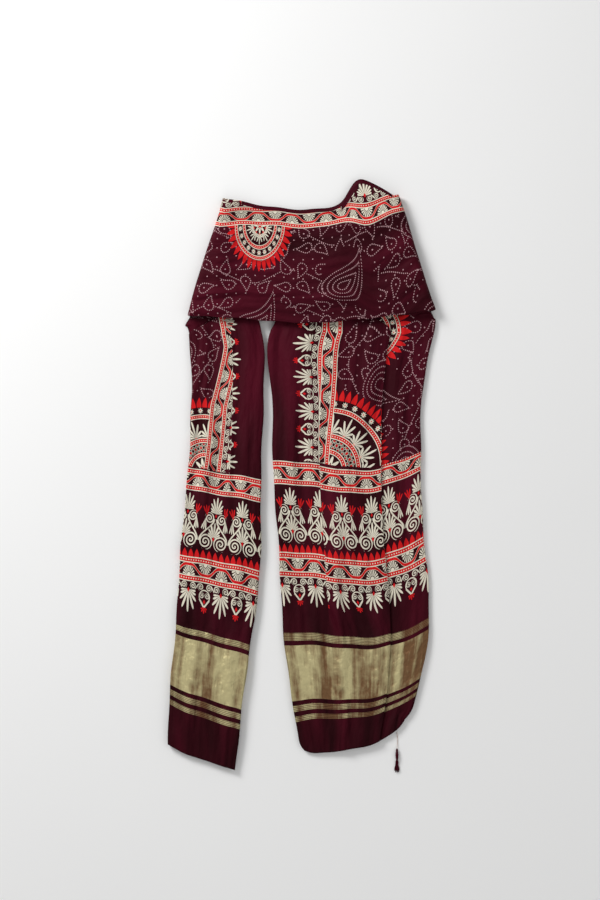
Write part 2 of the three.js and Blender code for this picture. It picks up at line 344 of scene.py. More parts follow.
def leg_rings(rows, places, slack, way):
    """A leg's rings. Its print is measured from its own hem."""
    fine, edge, fold = sampled(rows, places)
    mean = (edge + fold) / 2
    from_hem = np.interp(mean if way > 0 else mean[-1] - mean, *zip(*slack))
    rings = []
    for row, along in zip(fine, from_hem if way > 0 else CLOTH_LENGTH - from_hem):
        cut = section(row)
        points = lower_ring(row, cut)
        if way < 0:
            for corner in HEM_CORNERS:
                points = curved_in(points, *corner)
        rings.append(new_ring(points, along, row, cut))
    return rings


def hidden_rings(rows, places, top_along, chest, way):
    """The rings under the middle, from a leg's top to the roll at its shoulder."""
    fine, edge, fold = sampled(rows, places)
    top = fine[::way][0]
    top_share, _, top_distance, top_layer = section(top)
    rings = []
    for n, row in enumerate(fine):
        cut = share, _, distance, layer = section(row)
        start, end = (top_along, mixed(*chest, share) - way * ROLL_LENGTH)[::way]
        from_start = start + mixed(edge[n], fold[n], share)
        to_end = end - mixed(edge[-1] - edge[n], fold[-1] - fold[n], share)
        along = mixed(from_start, to_end, smoothstep(n / (len(places) - 1), 0.25, 0.75))
        points = lower_ring(row, cut)
        # Just above the leg, where it still shows, the leg's print carries straight on.
        x = (points[:, 0] - top["edge_x"]) / (top["fold_x"] - top["edge_x"])
        above = points[:, 1] - mixed(top["edge_y"], top["fold_y"], x)
        near = smoothstep(CARRY_END - above, 0, CARRY_FADE)
        for number in range(LAYERS):
            here, there = layer == number, top_layer == number
            order = np.argsort(top_share[there])
            carried = np.interp(x[here], top_share[there][order], top_distance[there][order])
            distance[here] = mixed(distance[here], carried, near[here])
        along = mixed(along, top_along + way * above, near)
        rings.append(new_ring(points, along, row, cut))
    return rings


def side_rings(rows, leg_top, slack, chest, way):
    """A side's rings in the cloth's order: the leg, the hidden part and the roll. chest is the place
    along the cloth of the middle's end, on its edge side and its fold side. way is 1 on the left, where
    the cloth runs up the leg, and -1 on the right."""
    cells = (LEG_CELLS, HIDDEN_CELLS)[::way]
    places = [np.linspace(0, leg_top, cells[0] + 1), np.linspace(leg_top, len(rows) - 1, cells[1] + 1)]
    leg_places, hidden_places = places[::way]
    leg = leg_rings(rows, leg_places, slack, way)
    hidden = hidden_rings(rows, hidden_places, leg[::way][-1]["along"][0], chest, way)
    (leg if way > 0 else hidden).pop()
    row = dict(zip(COLUMNS, rows[::-way][0]))
    cut = section(row)
    roll = []
    for turn in np.linspace(0, 1, ROLL_CELLS + 1)[1:-1][::-way]:
        along = mixed(*chest, cut[0]) - way * turn * ROLL_LENGTH
        roll.append(new_ring(rolled_ring(row, cut, -way, turn), along, row, cut))
    return sum([leg, hidden, roll][::way], [])


def cloth_rings():
    """The sheet's rings from the left hem to the right one."""
    places = np.linspace(0, len(MIDDLE_ROWS) - 1, MIDDLE_CELLS + 1)
    rows, *sides = sampled(MIDDLE_ROWS, places)
    edge, fold = (MIDDLE_PLACE + side - np.interp(MIDDLE_ROW, places, side) for side in sides)
    middle = []
    for n, row in enumerate(rows):
        cut = section(row)
        middle.append(new_ring(upper_ring(row, cut), mixed(edge[n], fold[n], cut[0]), row, cut))
    left = side_rings(LEFT_ROWS, LEFT_LEG_TOP, LEFT_SLACK, (edge[0], fold[0]), 1)
    right = side_rings(RIGHT_ROWS, RIGHT_LEG_TOP, RIGHT_SLACK, (edge[-1], fold[-1]), -1)
    return left + middle + right


def overload(operation, reflected=False):
    """A method that works its operands out with one Math node."""

    def method(self, *others):
        return self.shader.maths(operation, *((*others, self) if reflected else (self, *others)))

    return method


class Value:
    """A shader socket that Python expressions can be worked out with."""

    def __init__(self, shader, socket):
        self.shader = shader
        self.socket = socket

    __add__ = __radd__ = overload("ADD")
    __sub__, __rsub__ = overload("SUBTRACT"), overload("SUBTRACT", reflected=True)
    __mul__ = __rmul__ = __and__ = overload("MULTIPLY")
    __truediv__ = overload("DIVIDE")
    __pow__ = overload("POWER")
    __lt__ = overload("LESS_THAN")
    __gt__ = overload("GREATER_THAN")
    __or__ = overload("MAXIMUM")
    __abs__ = overload("ABSOLUTE")
    least = overload("MINIMUM")
    cosine = overload("COSINE")
    sine = overload("SINE")
    root = overload("SQRT")
    whole = overload("FLOOR")
    wrapped = overload("WRAP")
    angle_at = overload("ARCTAN2")  # x.angle_at(y) is the angle from the y axis, in radians

    def centred(self, pitch):
        """The distance from the nearest multiple of pitch, with its sign."""
        return self.wrapped(pitch / 2, -pitch / 2)

    def mirrored(self, pitch):
        """The same without its sign."""
        return abs(self.centred(pitch))

    def clamped(self, low, high):
        return (self | low).least(high)


class Shader:
    """One material's node tree."""

    def __init__(self, name):
        self.material = bpy.data.materials.new(name)
        self.material.use_nodes = True
        self.tree = self.material.node_tree
        self.tree.nodes.clear()

    def node(self, kind, settings=None, inputs=None, output=0):
        """Adds a node of a type, with its settings and inputs, and gives an output."""
        made = self.tree.nodes.new(kind)
        for key, value in (settings or {}).items():
            setattr(made, key, value)
        for key, value in (inputs or {}).items():
            if isinstance(value, Value):
                self.tree.links.new(value.socket, made.inputs[key])
            else:
                made.inputs[key].default_value = value
        return Value(self, made.outputs[output]) if made.outputs else None

    def maths(self, operation, *operands):
        return self.node("ShaderNodeMath", {"operation": operation}, dict(enumerate(operands)))

    def mix(self, factor, first, second):
        """first where factor is 0 and second where it is 1. Both are colours."""
        inputs = {"Factor": factor, "A": first, "B": second}
        return self.node("ShaderNodeMix", {"data_type": "RGBA"}, inputs, 2)

    def cloth_measure(self):
        """How far along and across the flat cloth a point lies, in millimetres."""
        place = self.node("ShaderNodeUVMap", {"uv_map": "cloth"})
        return [self.node("ShaderNodeSeparateXYZ", None, {0: place}, n) * 1000 for n in (0, 1)]

    def noise(self, along, across, scale, detail=2.0):
        """Smooth noise around 0.5 on the flat cloth."""
        place = self.node("ShaderNodeCombineXYZ", None, {"X": along, "Y": across})
        return self.noise_at(place, scale, detail)

    def noise_at(self, place, scale, detail=2.0):
        inputs = {"Vector": place, "Scale": scale, "Detail": detail}
        return self.node("ShaderNodeTexNoise", None, inputs)

    def grain(self, scale):
        """Smooth noise in the object's own measure."""
        return self.noise_at(self.node("ShaderNodeTexCoord", output="Object"), scale)

    def bump(self, height, strength, distance):
        """The normal that a height gives."""
        inputs = {"Strength": strength, "Distance": distance, "Height": height}
        return self.node("ShaderNodeBump", None, inputs)

    def finish(self, colour, roughness, inputs):
        """The finished material."""
        inputs = {"Base Color": colour, "Roughness": roughness, **inputs}
        surface = self.node("ShaderNodeBsdfPrincipled", None, inputs)
        self.node("ShaderNodeOutputMaterial", None, {"Surface": surface})
        return self.material


# The print's motifs. Each takes places in millimetres and gives a mask that is 1 on the motif. The
# border and the medallion give three: their cream, their red and their dark ground.


def ring(radius, inner, outer):
    """Where a distance is between two others."""
    return (radius > inner) & (radius < outer)


def length_of(x, y):
    """The distance from the origin."""
    return (x * x + y * y).root()


def turned_to(x, y, degrees):
    """A place's coordinates where the y axis points that many degrees to the right of up."""
    cosine, sine = math.cos(math.radians(degrees)), math.sin(math.radians(degrees))
    return x * cosine - y * sine, x * sine + y * cosine


def smooth_share(share):
    """A soft step as the share goes from 0 to 1."""
    t = share.clamped(0, 1)
    return t * t * (3 - t * 2)


def stroke(x, y, start, end, half_width):
    """A straight stroke from start to end with round ends."""
    (x0, y0), (x1, y1) = start, end
    square = (x1 - x0) ** 2 + (y1 - y0) ** 2
    along = ((x - x0) * (x1 - x0) + (y - y0) * (y1 - y0)) * (1 / square)
    share = along.clamped(0, 1)
    return length_of(x - x0 - share * (x1 - x0), y - y0 - share * (y1 - y0)) < half_width


def spiral(x, y, radius, pitch, half_line, turn):
    """A curl of line around the origin. turn is 1 or -1, the way that it winds."""
    r = length_of(x, y)
    winding = r / pitch - x.angle_at(y) * (turn / (2 * math.pi))
    return (winding.mirrored(1) < half_line / pitch) & (r < radius)


def union(masks):
    """What any of the masks covers."""
    return functools.reduce(Value.__or__, masks)


def diamond(x, y, half_width, half_height):
    """An upright diamond around the origin."""
    return (abs(x) / half_width + abs(y) / half_height) < 1


def leaves(x, y, lobes, spread, length, side_length, half_width):
    """A fan of pointed lobes from the origin along y, so many degrees wide, the middle one longest."""
    spread = math.radians(spread)
    pitch = spread / (lobes - 1)
    angle = x.angle_at(y)
    beside = angle.centred(pitch) if lobes % 2 else (angle + pitch / 2).centred(pitch)
    r = length_of(x, y)
    lean = (angle - beside).cosine()
    reach = side_length + (length - side_length) * lean * lean * lean
    share = r / reach
    width = ((1 - share**4) | 0).root() * (share * 0.55 + 0.45) * half_width
    return (
        (abs(beside) * r < width.least(r * (pitch * 0.39)))
        & (share < 1)
        & (abs(angle) < spread / 2 + pitch / 2)
    )


# The border is drawn in its own units, outward: a vine between stripes, then a row of palmettes.
REPEAT = 64  # from one palmette to the next
BORDER, VINE = 90, 40  # how wide all of it is, and the vine with its stripes
SIDE_UNIT, END_UNIT = 0.894, 1.16  # a unit in millimetres at the sides and at the ends
INNER_UNITS = 90 / 94  # a millimetre in units in the vine at the field's end

# The places of the print's parts, from the nearer selvedge or hem.
MARGIN = 44  # the plain selvedge
FIELD_EDGE = MARGIN + BORDER * SIDE_UNIT
FIELD_END = 552
INNER_VINE = 505  # the vine at the field's end
ROW_FROM, ROW_HEIGHT = 404, 101.5  # the row of tall palmettes
ROW_REPEAT, ROW_DRAWN = 58, 66  # their repeat, and the same as drawn
PETALS_FROM, PETAL_HEIGHT, PETAL_PITCH = 386, 15.5, 11.7  # the petals outside that row
GOLD_END = 256  # where the gold bands' cloth ends
BROAD_BAND = (111, 209)  # the gold tissue
THIN_BANDS = ((75, 84), (92.5, 103.5), (217.5, 231.5))  # the fine gold lines
LINE_PITCH, LINE_HALF = 2.9, 1.0

# The field's dots and the motifs that they draw, each from one to the next.
DOT_PITCH, DOT_RADIUS = 3.9, 1.05
PAISLEY_ALONG, PAISLEY_ACROSS, PAISLEY_SHIFT = 172, 180, 89
LEAF_ALONG, LEAF_ACROSS = 36, 37
STEM_LENGTH, STEM_SWING = 164, 16  # a stem's wave

# The medallions: the large one in the field's corners, the small one on the chest and at the elbow.
CORNER_RADIUS, SMALL_RADIUS = 140, 78
CHEST_BACK = 96  # how far the chest's medallion is from MIDDLE_PLACE
CHEST_WIDTH, CHEST_HEIGHT = 0.8, 90  # narrower than round, and so far across
ELBOW_ALONG, ELBOW_ACROSS = 1714, 692
ELBOW_FROM, ELBOW_FOLD = 1420, 690  # where it starts along, and where it ends across

MEDALLION = (  # kind of ring, its inner and outer radius, and how many there are round it
    ("petals", 0.86, 1.0, 64),
    ("flowers", 0.775, 0.855, 36),
    ("stripe", 0.7, 0.765, 0),
    ("palmettes", 0.45, 0.69, 16),
    ("stripe", 0.37, 0.44, 0),
    ("lattice", 0.25, 0.36, 22),
    ("stripe", 0.175, 0.24, 0),
    ("rosette", 0.0, 0.165, 10),
)
SMALL_MEDALLION = (
    ("petals", 0.76, 1.0, 36),
    ("stripe", 0.66, 0.75, 0),
    ("flowers", 0.53, 0.65, 22),
    ("stripe", 0.43, 0.52, 0),
    ("palmettes", 0.19, 0.42, 10),
    ("rosette", 0.0, 0.18, 8),
)


def drops(beside, share):
    """Upright drops with a pointed tip. beside is 1 half way to the next one, share 1 at the tip."""
    width = (1 - share) * ((share | 0) + 0.34).root() * 1.42
    return (beside < width) & (share > 0) & (share < 1)


def stripe(along, beside, half_width):
    """A red stripe between two cream lines, with a row of pale dots. Gives its cream and its red."""
    inside = beside < half_width
    line = beside > half_width * 0.66
    dot = length_of(along.mirrored(4.8), beside) < half_width * 0.22
    return inside & (line | dot), inside


def border(along, out):
    """The border, out units outward from the field: stripe, vine of fans, stripe, row of palmettes."""
    x = along.mirrored(REPEAT)
    centre = out - VINE / 2
    cream_stripe, red_stripe = stripe(along, abs(abs(centre) - 15), 5)
    in_vine = abs(centre) < 10
    side = 1 - (x > REPEAT / 4) * 2
    fan_x = x.least(REPEAT / 2 - x) / 11.8
    fan_y = (10 - centre * side) / 15.6
    fan_r = length_of(fan_x, fan_y)
    fan_beside = abs(fan_x.angle_at(fan_y).centred(math.pi / 9)) * (18 / math.pi)
    fan = (
        (fan_r < 1 - fan_beside * fan_beside * 0.16)
        & ((fan_beside < 0.6) | (fan_r < 0.44))
        & ((fan_r < 0.31) | (fan_r > 0.4))
    )
    wave = (x * (2 * math.pi / REPEAT)).cosine()
    way = wave * (wave * wave * 3.6 - 11.6)
    ribbon = abs(centre - way)
    vine_cream = in_vine & (fan | ring(ribbon, 2.4, 3.0))
    vine_red = in_vine & (ribbon < 2.4) & (1 - fan)

    y = out - VINE
    bud_x = REPEAT / 2 - x
    in_row = ring(out, VINE, 92)
    curls = (
        spiral(x - 9.0, y - 6.4, 5.8, 3.3, 0.8, 1)
        | spiral(bud_x - 8.2, y - 7.0, 5.8, 3.3, 0.8, -1)
        | spiral(bud_x - 4.9, y - 20.5, 4.9, 3.1, 0.75, 1)
        | stroke(x, y, (13.6, 10.6), (19.4, 3.0), 0.9)
    )
    vase = (ring(length_of(bud_x, y - 21.5), 9.2, 11.0) & (y < 27)) | stroke(
        bud_x, y, (9.0, 27.0), (1.0, 37.5), 1.4
    )
    palmette = leaves(x, y - 13, 9, 164, 37, 14.5, 2.6)
    tip = leaves(bud_x, y - 38, 5, 120, 10.5, 6.5, 1.8)
    gems = diamond(x, y - 13.5, 2.6, 4.2) | diamond(bud_x, y - 30, 2.4, 3.8)
    row_red = in_row & (tip | gems)
    row_cream = in_row & (palmette | curls | vase) & (1 - row_red)
    return cream_stripe | vine_cream | row_cream, red_stripe | vine_red | row_red, in_vine


def medallion(x, y, radius, rings):
    """A round of rings."""
    r = length_of(x, y) / radius
    angle = x.angle_at(y)
    creams, reds = [], []
    ground = r < rings[1][2]
    for kind, inner, outer, count in rings:
        middle, half = (inner + outer) / 2, (outer - inner) / 2 * radius
        share = (r - inner) * (1 / (outer - inner))
        inside = ring(r, inner, outer)
        arc = angle.centred(2 * math.pi / count) if count else None
        if kind == "petals":
            reds.append(drops(abs(arc) * (count / math.pi), share))
        elif kind == "stripe":
            lines, band = stripe(angle * (middle * radius), abs(r - middle) * radius, half)
            creams.append(lines)
            reds.append(band)
        elif kind == "flowers":
            across, up = arc * (middle * radius), (r - middle) * radius
            turn = (across.angle_at(up) * 4).cosine()
            reach = (turn * turn * 0.5 + 0.5) * (half * 0.98)
            spread = length_of(across, up)
            creams.append(ring(spread, half * 0.22, 1e6) & (spread < reach))
            reds.append(spread < half * 0.22)
        elif kind == "palmettes":
            x, y = arc * r * radius, (r - inner) * radius
            creams.append(inside & leaves(x, y, 7, 150, 2 * half * 0.98, half * 0.8, half * 0.15))
            reds.append(diamond(x, y, 2.6, 4.0))
        elif kind == "lattice":
            wave = (angle * count).cosine() * (share * 2 * math.pi).cosine()
            creams.append(inside & ring(abs(wave), 0.12, 0.34))
            reds.append(inside & (wave > 0.5))
        else:
            wave = (angle * count).cosine() * 0.28 + 0.7
            creams.append(inside & ring(share / wave, 0.45, 1.0))
            reds.append(share < 0.3)
    return union(creams), union(reds), ground


def dotted_leaf(x, y, back, length, shells):
    """Rows of dots along a drop's outline and along smaller ones inside it. The drop's round end has
    the radius back and lies around the origin, and its tip is on the y axis."""
    lean = math.acos(back / length)
    side = abs(x)
    angle = side.angle_at(y)
    r = length_of(x, y)
    front = angle < lean
    flat = y * math.cos(lean) + side * math.sin(lean)
    reach = mixed(r, flat, front)
    shell = (reach * (shells / back) + 0.5).whole() * (back / shells)
    round_way = (math.pi - angle) * shell
    straight_way = (math.pi - lean) * shell + y * math.sin(lean) - side * math.cos(lean)
    way = mixed(round_way, straight_way, front)
    near = length_of(way.mirrored(DOT_PITCH), reach - shell)
    return (near < DOT_RADIUS) & ring(shell, 0.1, back + 0.1)


def field(along, across):
    """The field's fine dots: large paisleys, leaves on wavy stems, and single dots."""
    row = (along / PAISLEY_ALONG).whole()
    big_x = along - row * PAISLEY_ALONG - PAISLEY_ALONG / 2
    big_y = (across + row * PAISLEY_SHIFT + 40).centred(PAISLEY_ACROSS)
    turned_x, turned_y = turned_to(big_x, big_y, 130)
    bent = turned_x - turned_y * turned_y * 0.007
    paisley = dotted_leaf(bent, turned_y + 12, 33, 84, 4)
    round_paisley = length_of(turned_x - 6, turned_y - 14) < 56

    cell_x, cell_y = (along / LEAF_ALONG).whole(), (across / LEAF_ACROSS).whole()
    nudge = (cell_x * 1.7 + cell_y * 2.9).sine()
    x = along - cell_x * LEAF_ALONG - LEAF_ALONG / 2 + nudge * 2.5
    y = across - cell_y * LEAF_ACROSS - LEAF_ACROSS / 2 - nudge * 2.5
    spin = cell_x * 2.3 + cell_y * 1.1
    cosine, sine = spin.cosine(), spin.sine()
    leaf_x, leaf_y = x * cosine - y * sine, x * sine + y * cosine
    leaf = dotted_leaf(leaf_x + leaf_y * leaf_y * 0.012, leaf_y + 5, 9.2, 21, 1)
    middle_dot = length_of(leaf_x, leaf_y + 4) < 1.3
    swing = (along * (2 * math.pi / STEM_LENGTH)).sine() * STEM_SWING
    wave = (across + swing).centred(LEAF_ACROSS * 2)
    near_leaf = length_of(x, y) < 11
    stem = (length_of(along.mirrored(DOT_PITCH), wave) < DOT_RADIUS) & (1 - near_leaf)
    loose = length_of(along.mirrored(LEAF_ALONG / 2), across.mirrored(LEAF_ACROSS / 2)) < 1.2
    around = (leaf | middle_dot | stem | (loose & (1 - near_leaf))) & (1 - round_paisley)
    return paisley | around


SILK = {"Sheen Weight": 0.01, "Sheen Roughness": 0.4, "Specular IOR Level": 0.06}
ROUGHNESS = 0.66


def cloth_shader(name, props):
    """What the cloth's three materials share: the shader, the place along and across, the distance from
    the nearer hem, the ground with painted shade in long soft streaks like the shading of folds and
    darker towards the hems, and the normal."""
    shader = Shader(name)
    along, across = shader.cloth_measure()
    from_hem = along.least(CLOTH_LENGTH - along)
    # Painted shade: the noise draws long soft streaks of lit and shaded ground, like the light and
    # shade on folds, and the ground is darker towards the hems, as if less light reached them. The mix
    # below blends the lit ground with its shaded copy.
    shade_cloud = shader.noise(along * 0.2, across, 0.016)
    light = smooth_share((from_hem - 100) / 600) * 0.35 + 0.15
    painted_light = ((shade_cloud - 0.5) * 2.4 + light).clamped(0, 1)
    ground = shader.mix(painted_light, (*props.ground_shaded, 1), (*props.ground, 1))
    drape = shader.noise(along * 0.16, across, 0.022)
    crumple = shader.noise(along * 0.5, across, 0.06, 3.0)
    weave = (along * (math.pi / 0.7)).sine() * (across * (math.pi / 0.7)).sine()
    normal = shader.bump(drape * 14.0 + crumple * 2.2 + weave * 0.01, 0.8, 0.0022)
    return shader, along, across, from_hem, ground, normal


def printed(shader, ground, masks, props):
    """The ground with its dark, red and cream blocks over it."""
    cream, red, dark = masks
    colour = shader.mix(dark, ground, (*props.dark, 1))
    colour = shader.mix(red, colour, (*props.red, 1))
    return shader.mix(cream, colour, (*props.cream, 1))


def field_material(props):
    """The field of fine dots with its medallions, and the side borders."""
    shader, along, across, from_hem, ground, normal = cloth_shader("printed_field", props)
    from_side = across.least(CLOTH_WIDTH - across)
    dots = field(along, across)
    corner_x, corner_y = from_hem - FIELD_END, from_side - FIELD_EDGE
    corner = medallion(corner_x, corner_y, CORNER_RADIUS, MEDALLION)
    elbow = along > ELBOW_FROM
    chest_x = (along - MIDDLE_PLACE + CHEST_BACK) / CHEST_WIDTH
    chest_y = corner_y * (SMALL_RADIUS / CHEST_HEIGHT)
    small_x = mixed(chest_x, along - ELBOW_ALONG, elbow)
    small_y = mixed(chest_y, across - ELBOW_ACROSS, elbow)
    small = medallion(small_x, small_y, SMALL_RADIUS, SMALL_MEDALLION)
    inside = from_side > FIELD_EDGE
    shown = inside & ((1 - elbow) | (across < ELBOW_FOLD))
    in_corner = length_of(corner_x, corner_y) < CORNER_RADIUS
    side = border(along, (FIELD_EDGE - from_side) / SIDE_UNIT)
    free = inside & (1 - corner[2]) & (1 - small[2] * shown) & (1 - in_corner)
    colour = shader.mix(dots & free, ground, (*props.dots, 1))
    masks = [large & inside | little & shown for large, little in zip(corner, small)]
    colour = printed(shader, colour, masks, props)
    colour = printed(shader, colour, [mask & (1 - inside) for mask in side], props)
    return shader.finish(colour, ROUGHNESS, {"Normal": normal, **SILK})


def end_material(props):
    """The printed end: the border, petals, a row of tall palmettes and the vine at the field."""
    shader, _, across, from_hem, ground, normal = cloth_shader("printed_end", props)
    inner = from_hem > INNER_VINE
    outer_place = (PETALS_FROM - from_hem) / END_UNIT * (1 - inner)
    out = outer_place + (FIELD_END - from_hem) * INNER_UNITS * inner
    edge = border(across, out)
    shown = (out > 0) & ((1 - inner) | (out < VINE))
    beside = across.mirrored(PETAL_PITCH) / (PETAL_PITCH / 2)
    petals = drops(beside, (from_hem - PETALS_FROM) / PETAL_HEIGHT)

    x = across.mirrored(ROW_REPEAT) * (ROW_DRAWN / ROW_REPEAT)
    y = from_hem - ROW_FROM
    up = smooth_share((y - 17) / 42)
    stem = (abs(x - (30.5 - up * 27.5)) < 1.8) & ring(y, 15, 60)
    side_x, side_y = turned_to(x - 22, y - 60, 174)
    tip_x, tip_y = turned_to(x - 20, y - 63, 14)
    in_row = ring(y, 0, ROW_HEIGHT)
    cream = (
        stem
        | spiral(x - 16.6, y - 14.4, 15.2, 6.4, 1.35, -1)
        | spiral(x - 14.2, y - 60, 10.4, 5.2, 1.2, 1)
        | leaves(x, y - 24, 9, 160, 29, 13, 2.6)
        | leaves(x, y - 70, 9, 150, 32, 13, 2.5)
        | leaves(side_x, side_y, 3, 24, 24, 18, 1.9)
    ) & in_row
    red = (
        diamond(x, y - 21.5, 2.8, 4.8)
        | diamond(x, y - 66, 2.4, 4.0)
        | leaves(tip_x, tip_y, 3, 36, 21, 15, 2.0)
    ) & in_row
    colour = printed(shader, ground, [mask & shown for mask in edge], props)
    colour = shader.mix(red | petals, colour, (*props.red, 1))
    colour = shader.mix(cream & (1 - red), colour, (*props.cream, 1))
    return shader.finish(colour, ROUGHNESS, {"Normal": normal, **SILK})


def gold_material(props):
    """The woven end: gold tissue and three bands of fine gold lines. The tissue has painted light and
    shade in blotches and streaks, and the right end is darker with painted shade.
    """
    shader, along, across, from_hem, ground, normal = cloth_shader("woven_gold_end", props)
    broad = ring(from_hem, *BROAD_BAND)
    thin = union(ring(from_hem, *band) for band in THIN_BANDS)
    gold = broad | (thin & (from_hem.mirrored(LINE_PITCH) < LINE_HALF))
    # Painted light and shade: these noises, and the lowering on the right end, blend the lit gold with
    # its shaded copy like the light and shade on crinkled, folded tissue. Three of them also give the
    # relief below.
    shade_cloud = shader.noise(from_hem * 0.1, across, 0.02, 1.0)
    streak = shader.noise(from_hem * 0.12, across, 0.075, 3.0)
    crinkle = shader.noise(from_hem, across, 0.05, 4.0)
    fine = shader.noise(from_hem * 0.02, across, 0.9)
    shade = (
        (shade_cloud - 0.5) * 3.2 + (streak - 0.5) * 2.4 + (crinkle - 0.5) * 1.5 + (fine - 0.5) * 0.8
        + 0.52 - (along > CLOTH_LENGTH / 2) * 0.2
    ).clamped(0, 1)
    tissue = shader.mix(shade, (*props.gold_shaded, 1), (*props.gold, 1))
    relief = shader.bump(crinkle * 3.2 + streak * 2.6 + fine * 0.4, 0.8, 0.002)
    colour = shader.mix(gold, ground, tissue)
    inputs = {"Factor": broad, "A": normal, "B": relief}
    normal = shader.node("ShaderNodeMix", {"data_type": "VECTOR"}, inputs, 1)
    inputs = {"Metallic": gold * 0.35, "Normal": normal, **SILK}
    return shader.finish(colour, ROUGHNESS - gold * 0.24, inputs)


def thread_material(name, dark, light, scale, strength, depth, roughness):
    """Twisted thread, mottled between two colours."""
    shader = Shader(name)
    fibre = shader.grain(scale)
    colour = shader.mix(fibre, (*dark, 1), (*light, 1))
    normal = shader.bump(fibre, strength, depth)
    return shader.finish(colour, roughness, {"Normal": normal, **SILK})


def floor_material(colour):
    """A pale floor, very slightly uneven."""
    shader = Shader("pale_floor")
    shade = shader.mix(shader.grain(3.0), (*colour, 1), (*(c * 0.985 for c in colour), 1))
    return shader.finish(shade, 0.9, {})


def new_piece(name, bm, materials):
    """A finished object in the scene, made from a bmesh."""
    mesh = bpy.data.meshes.new(name)
    bm.to_mesh(mesh)
    bm.free()
    for material in materials:
        mesh.materials.append(material)
    piece = bpy.data.objects.new(name, mesh)
    bpy.context.scene.collection.objects.link(piece)
    return piece


def hem_distance(along):
    """How far a place along the cloth is from the nearer hem."""
    return min(along, CLOTH_LENGTH - along)


def print_place(ring, column, first):
    """Where a corner of a face is in the print, along and across. first is the face's first column,
    which tells on which side of a fold the whole face lies."""
    along, across = ring["along"][column], ring["distance"][column]
    if ring["distance"][first] > ring["lip"] - LIP_REACH:
        across += ring["turned"]
    from_hem = hem_distance(along)
    for leg, layer, fold, places, hidden, rise in SLIPS:
        if (
            (leg == "right") == (along > CLOTH_LENGTH / 2)
            and from_hem < LEG_LENGTH
            and ring["layer"][first] == layer
            and ring["distance"][first] < fold - SLIP_REACH
        ):
            along += np.interp(from_hem, places, rise)
            across -= np.interp(from_hem, places, hidden)
    return along, across


def layout_shift(rings):
    """What brings the layout to the solid's place."""
    points = np.concatenate([ring["points"] for ring in rings])[:, :2] * MM
    low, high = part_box("dupatta_cloth")
    middle = (np.array(low[:2]) + np.array(high[:2])) / 2
    return middle - (points.min(axis=0) + points.max(axis=0)) / 2


def colour_property(name, description, default):
    return FloatVectorProperty(
        name=name, description=description, default=default, size=3, min=0, max=1, subtype="COLOR"
    )


class DupattaSettings(bpy.types.PropertyGroup):
    sheet: FloatProperty(
        name="Sheet", description="Thickness of the silk", default=0.0006,
        min=0.0002, max=0.001, unit="LENGTH",
    )
    # Painted light and shade: the first ground colour is the ground as lit, the second the same ground
    # in shade; the cloth's materials blend them by painted shade.
    ground: colour_property("Ground", "The dyed ground where it catches light", (0.072, 0.0028, 0.0115))
    ground_shaded: colour_property("Shaded ground", "The ground in painted shade", (0.02, 0.0012, 0.003))
    dark: colour_property("Dark block", "Behind the fans and medallions", (0.026, 0.0018, 0.0042))
    red: colour_property("Red block", "The red of the petals, ribbons and stripes", (0.6, 0.011, 0.013))
    cream: colour_property("Cream block", "The cream of palmettes, fans and lines", (0.74, 0.69, 0.56))
    dots: colour_property("Dots", "The fine dots of the field", (0.46, 0.27, 0.29))
    # Painted light and shade: the first gold colour is the tissue as lit, the second the same gold in
    # shade; the woven end blends them by painted shade.
    gold: colour_property("Gold", "The gold tissue where it catches light", (0.56, 0.49, 0.26))
    gold_shaded: colour_property("Shaded gold", "The gold tissue in painted shade, as in its creases", (0.18, 0.095, 0.044))


class StageSettings(bpy.types.PropertyGroup):
    floor: colour_property("Floor", "Colour of the floor", (0.93, 0.93, 0.925))
    key: FloatProperty(name="Key light", description="Strength of the main light", default=84.0, min=0)
    fill: FloatProperty(name="Fill light", description="Strength of the fill light", default=11, min=0)
    camera_height: FloatProperty(
        name="Camera height", description="How far the camera is above the cloth",
        default=3.974, min=0.5, unit="LENGTH",
    )


class DUPATTA_OT_cloth(bpy.types.Operator):
    """Lay the folded cloth with its print and its gold ends"""

    bl_idname = "dupatta.cloth"
    bl_label = "Dupatta Cloth"

    def execute(self, context):
        props = context.scene.dupatta_settings
        rings = cloth_rings()
        columns = len(rings[0]["distance"])
        shift = layout_shift(rings)
        bm = bmesh.new()
        made = bmesh.ops.create_grid(bm, x_segments=columns - 1, y_segments=len(rings) - 1, size=1)
        for n, vert in enumerate(made["verts"]):
            x, y, z = rings[n // columns]["points"][n % columns] * MM
            vert.co = (x + shift[0], y + shift[1], z)
        bm.verts.index_update()
        uv = bm.loops.layers.uv.new("cloth")
        for face in bm.faces:
            face.smooth = True
            places = [divmod(loop.vert.index, columns) for loop in face.loops]
            first = min(column for _, column in places)
            for loop, (n, column) in zip(face.loops, places):
                along, across = print_place(rings[n], column, first)
                loop[uv].uv = (along * MM, across * MM)
            from_hem = [hem_distance(rings[n]["along"][column]) for n, column in places]
            middle = sum(from_hem) / len(from_hem)
            face.material_index = 0 if middle > FIELD_END else 1 if middle > GOLD_END else 2
        bmesh.ops.recalc_face_normals(bm, faces=bm.faces)
        cloth = new_piece(
            "dupatta_sheet", bm, [field_material(props), end_material(props), gold_material(props)]
        )
        thick = cloth.modifiers.new("Thickness", "SOLIDIFY")
        thick.thickness = props.sheet
        thick.offset = 0
        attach(cloth, "root")
        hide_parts("dupatta_cloth")
        return {"FINISHED"}


STRANDS = 40  # in the tassel


def rod(bm, points, radius, tip_radius, sides, material):
    """A thin rod along a path, as a chain of short cones."""
    radii = np.linspace(radius, tip_radius, len(points))
    for i, (start, end) in enumerate(zip(points, points[1:])):
        way = end - start
        made = bmesh.ops.create_cone(
            bm, cap_ends=True, segments=sides, radius1=radii[i], radius2=radii[i + 1],
            depth=way.length * 1.04,
            matrix=Matrix.LocRotScale((start + end) / 2, way.to_track_quat("Z", "Y"), None),
        )
        for vert in made["verts"]:
            for face in vert.link_faces:
                face.material_index = material
                face.smooth = True


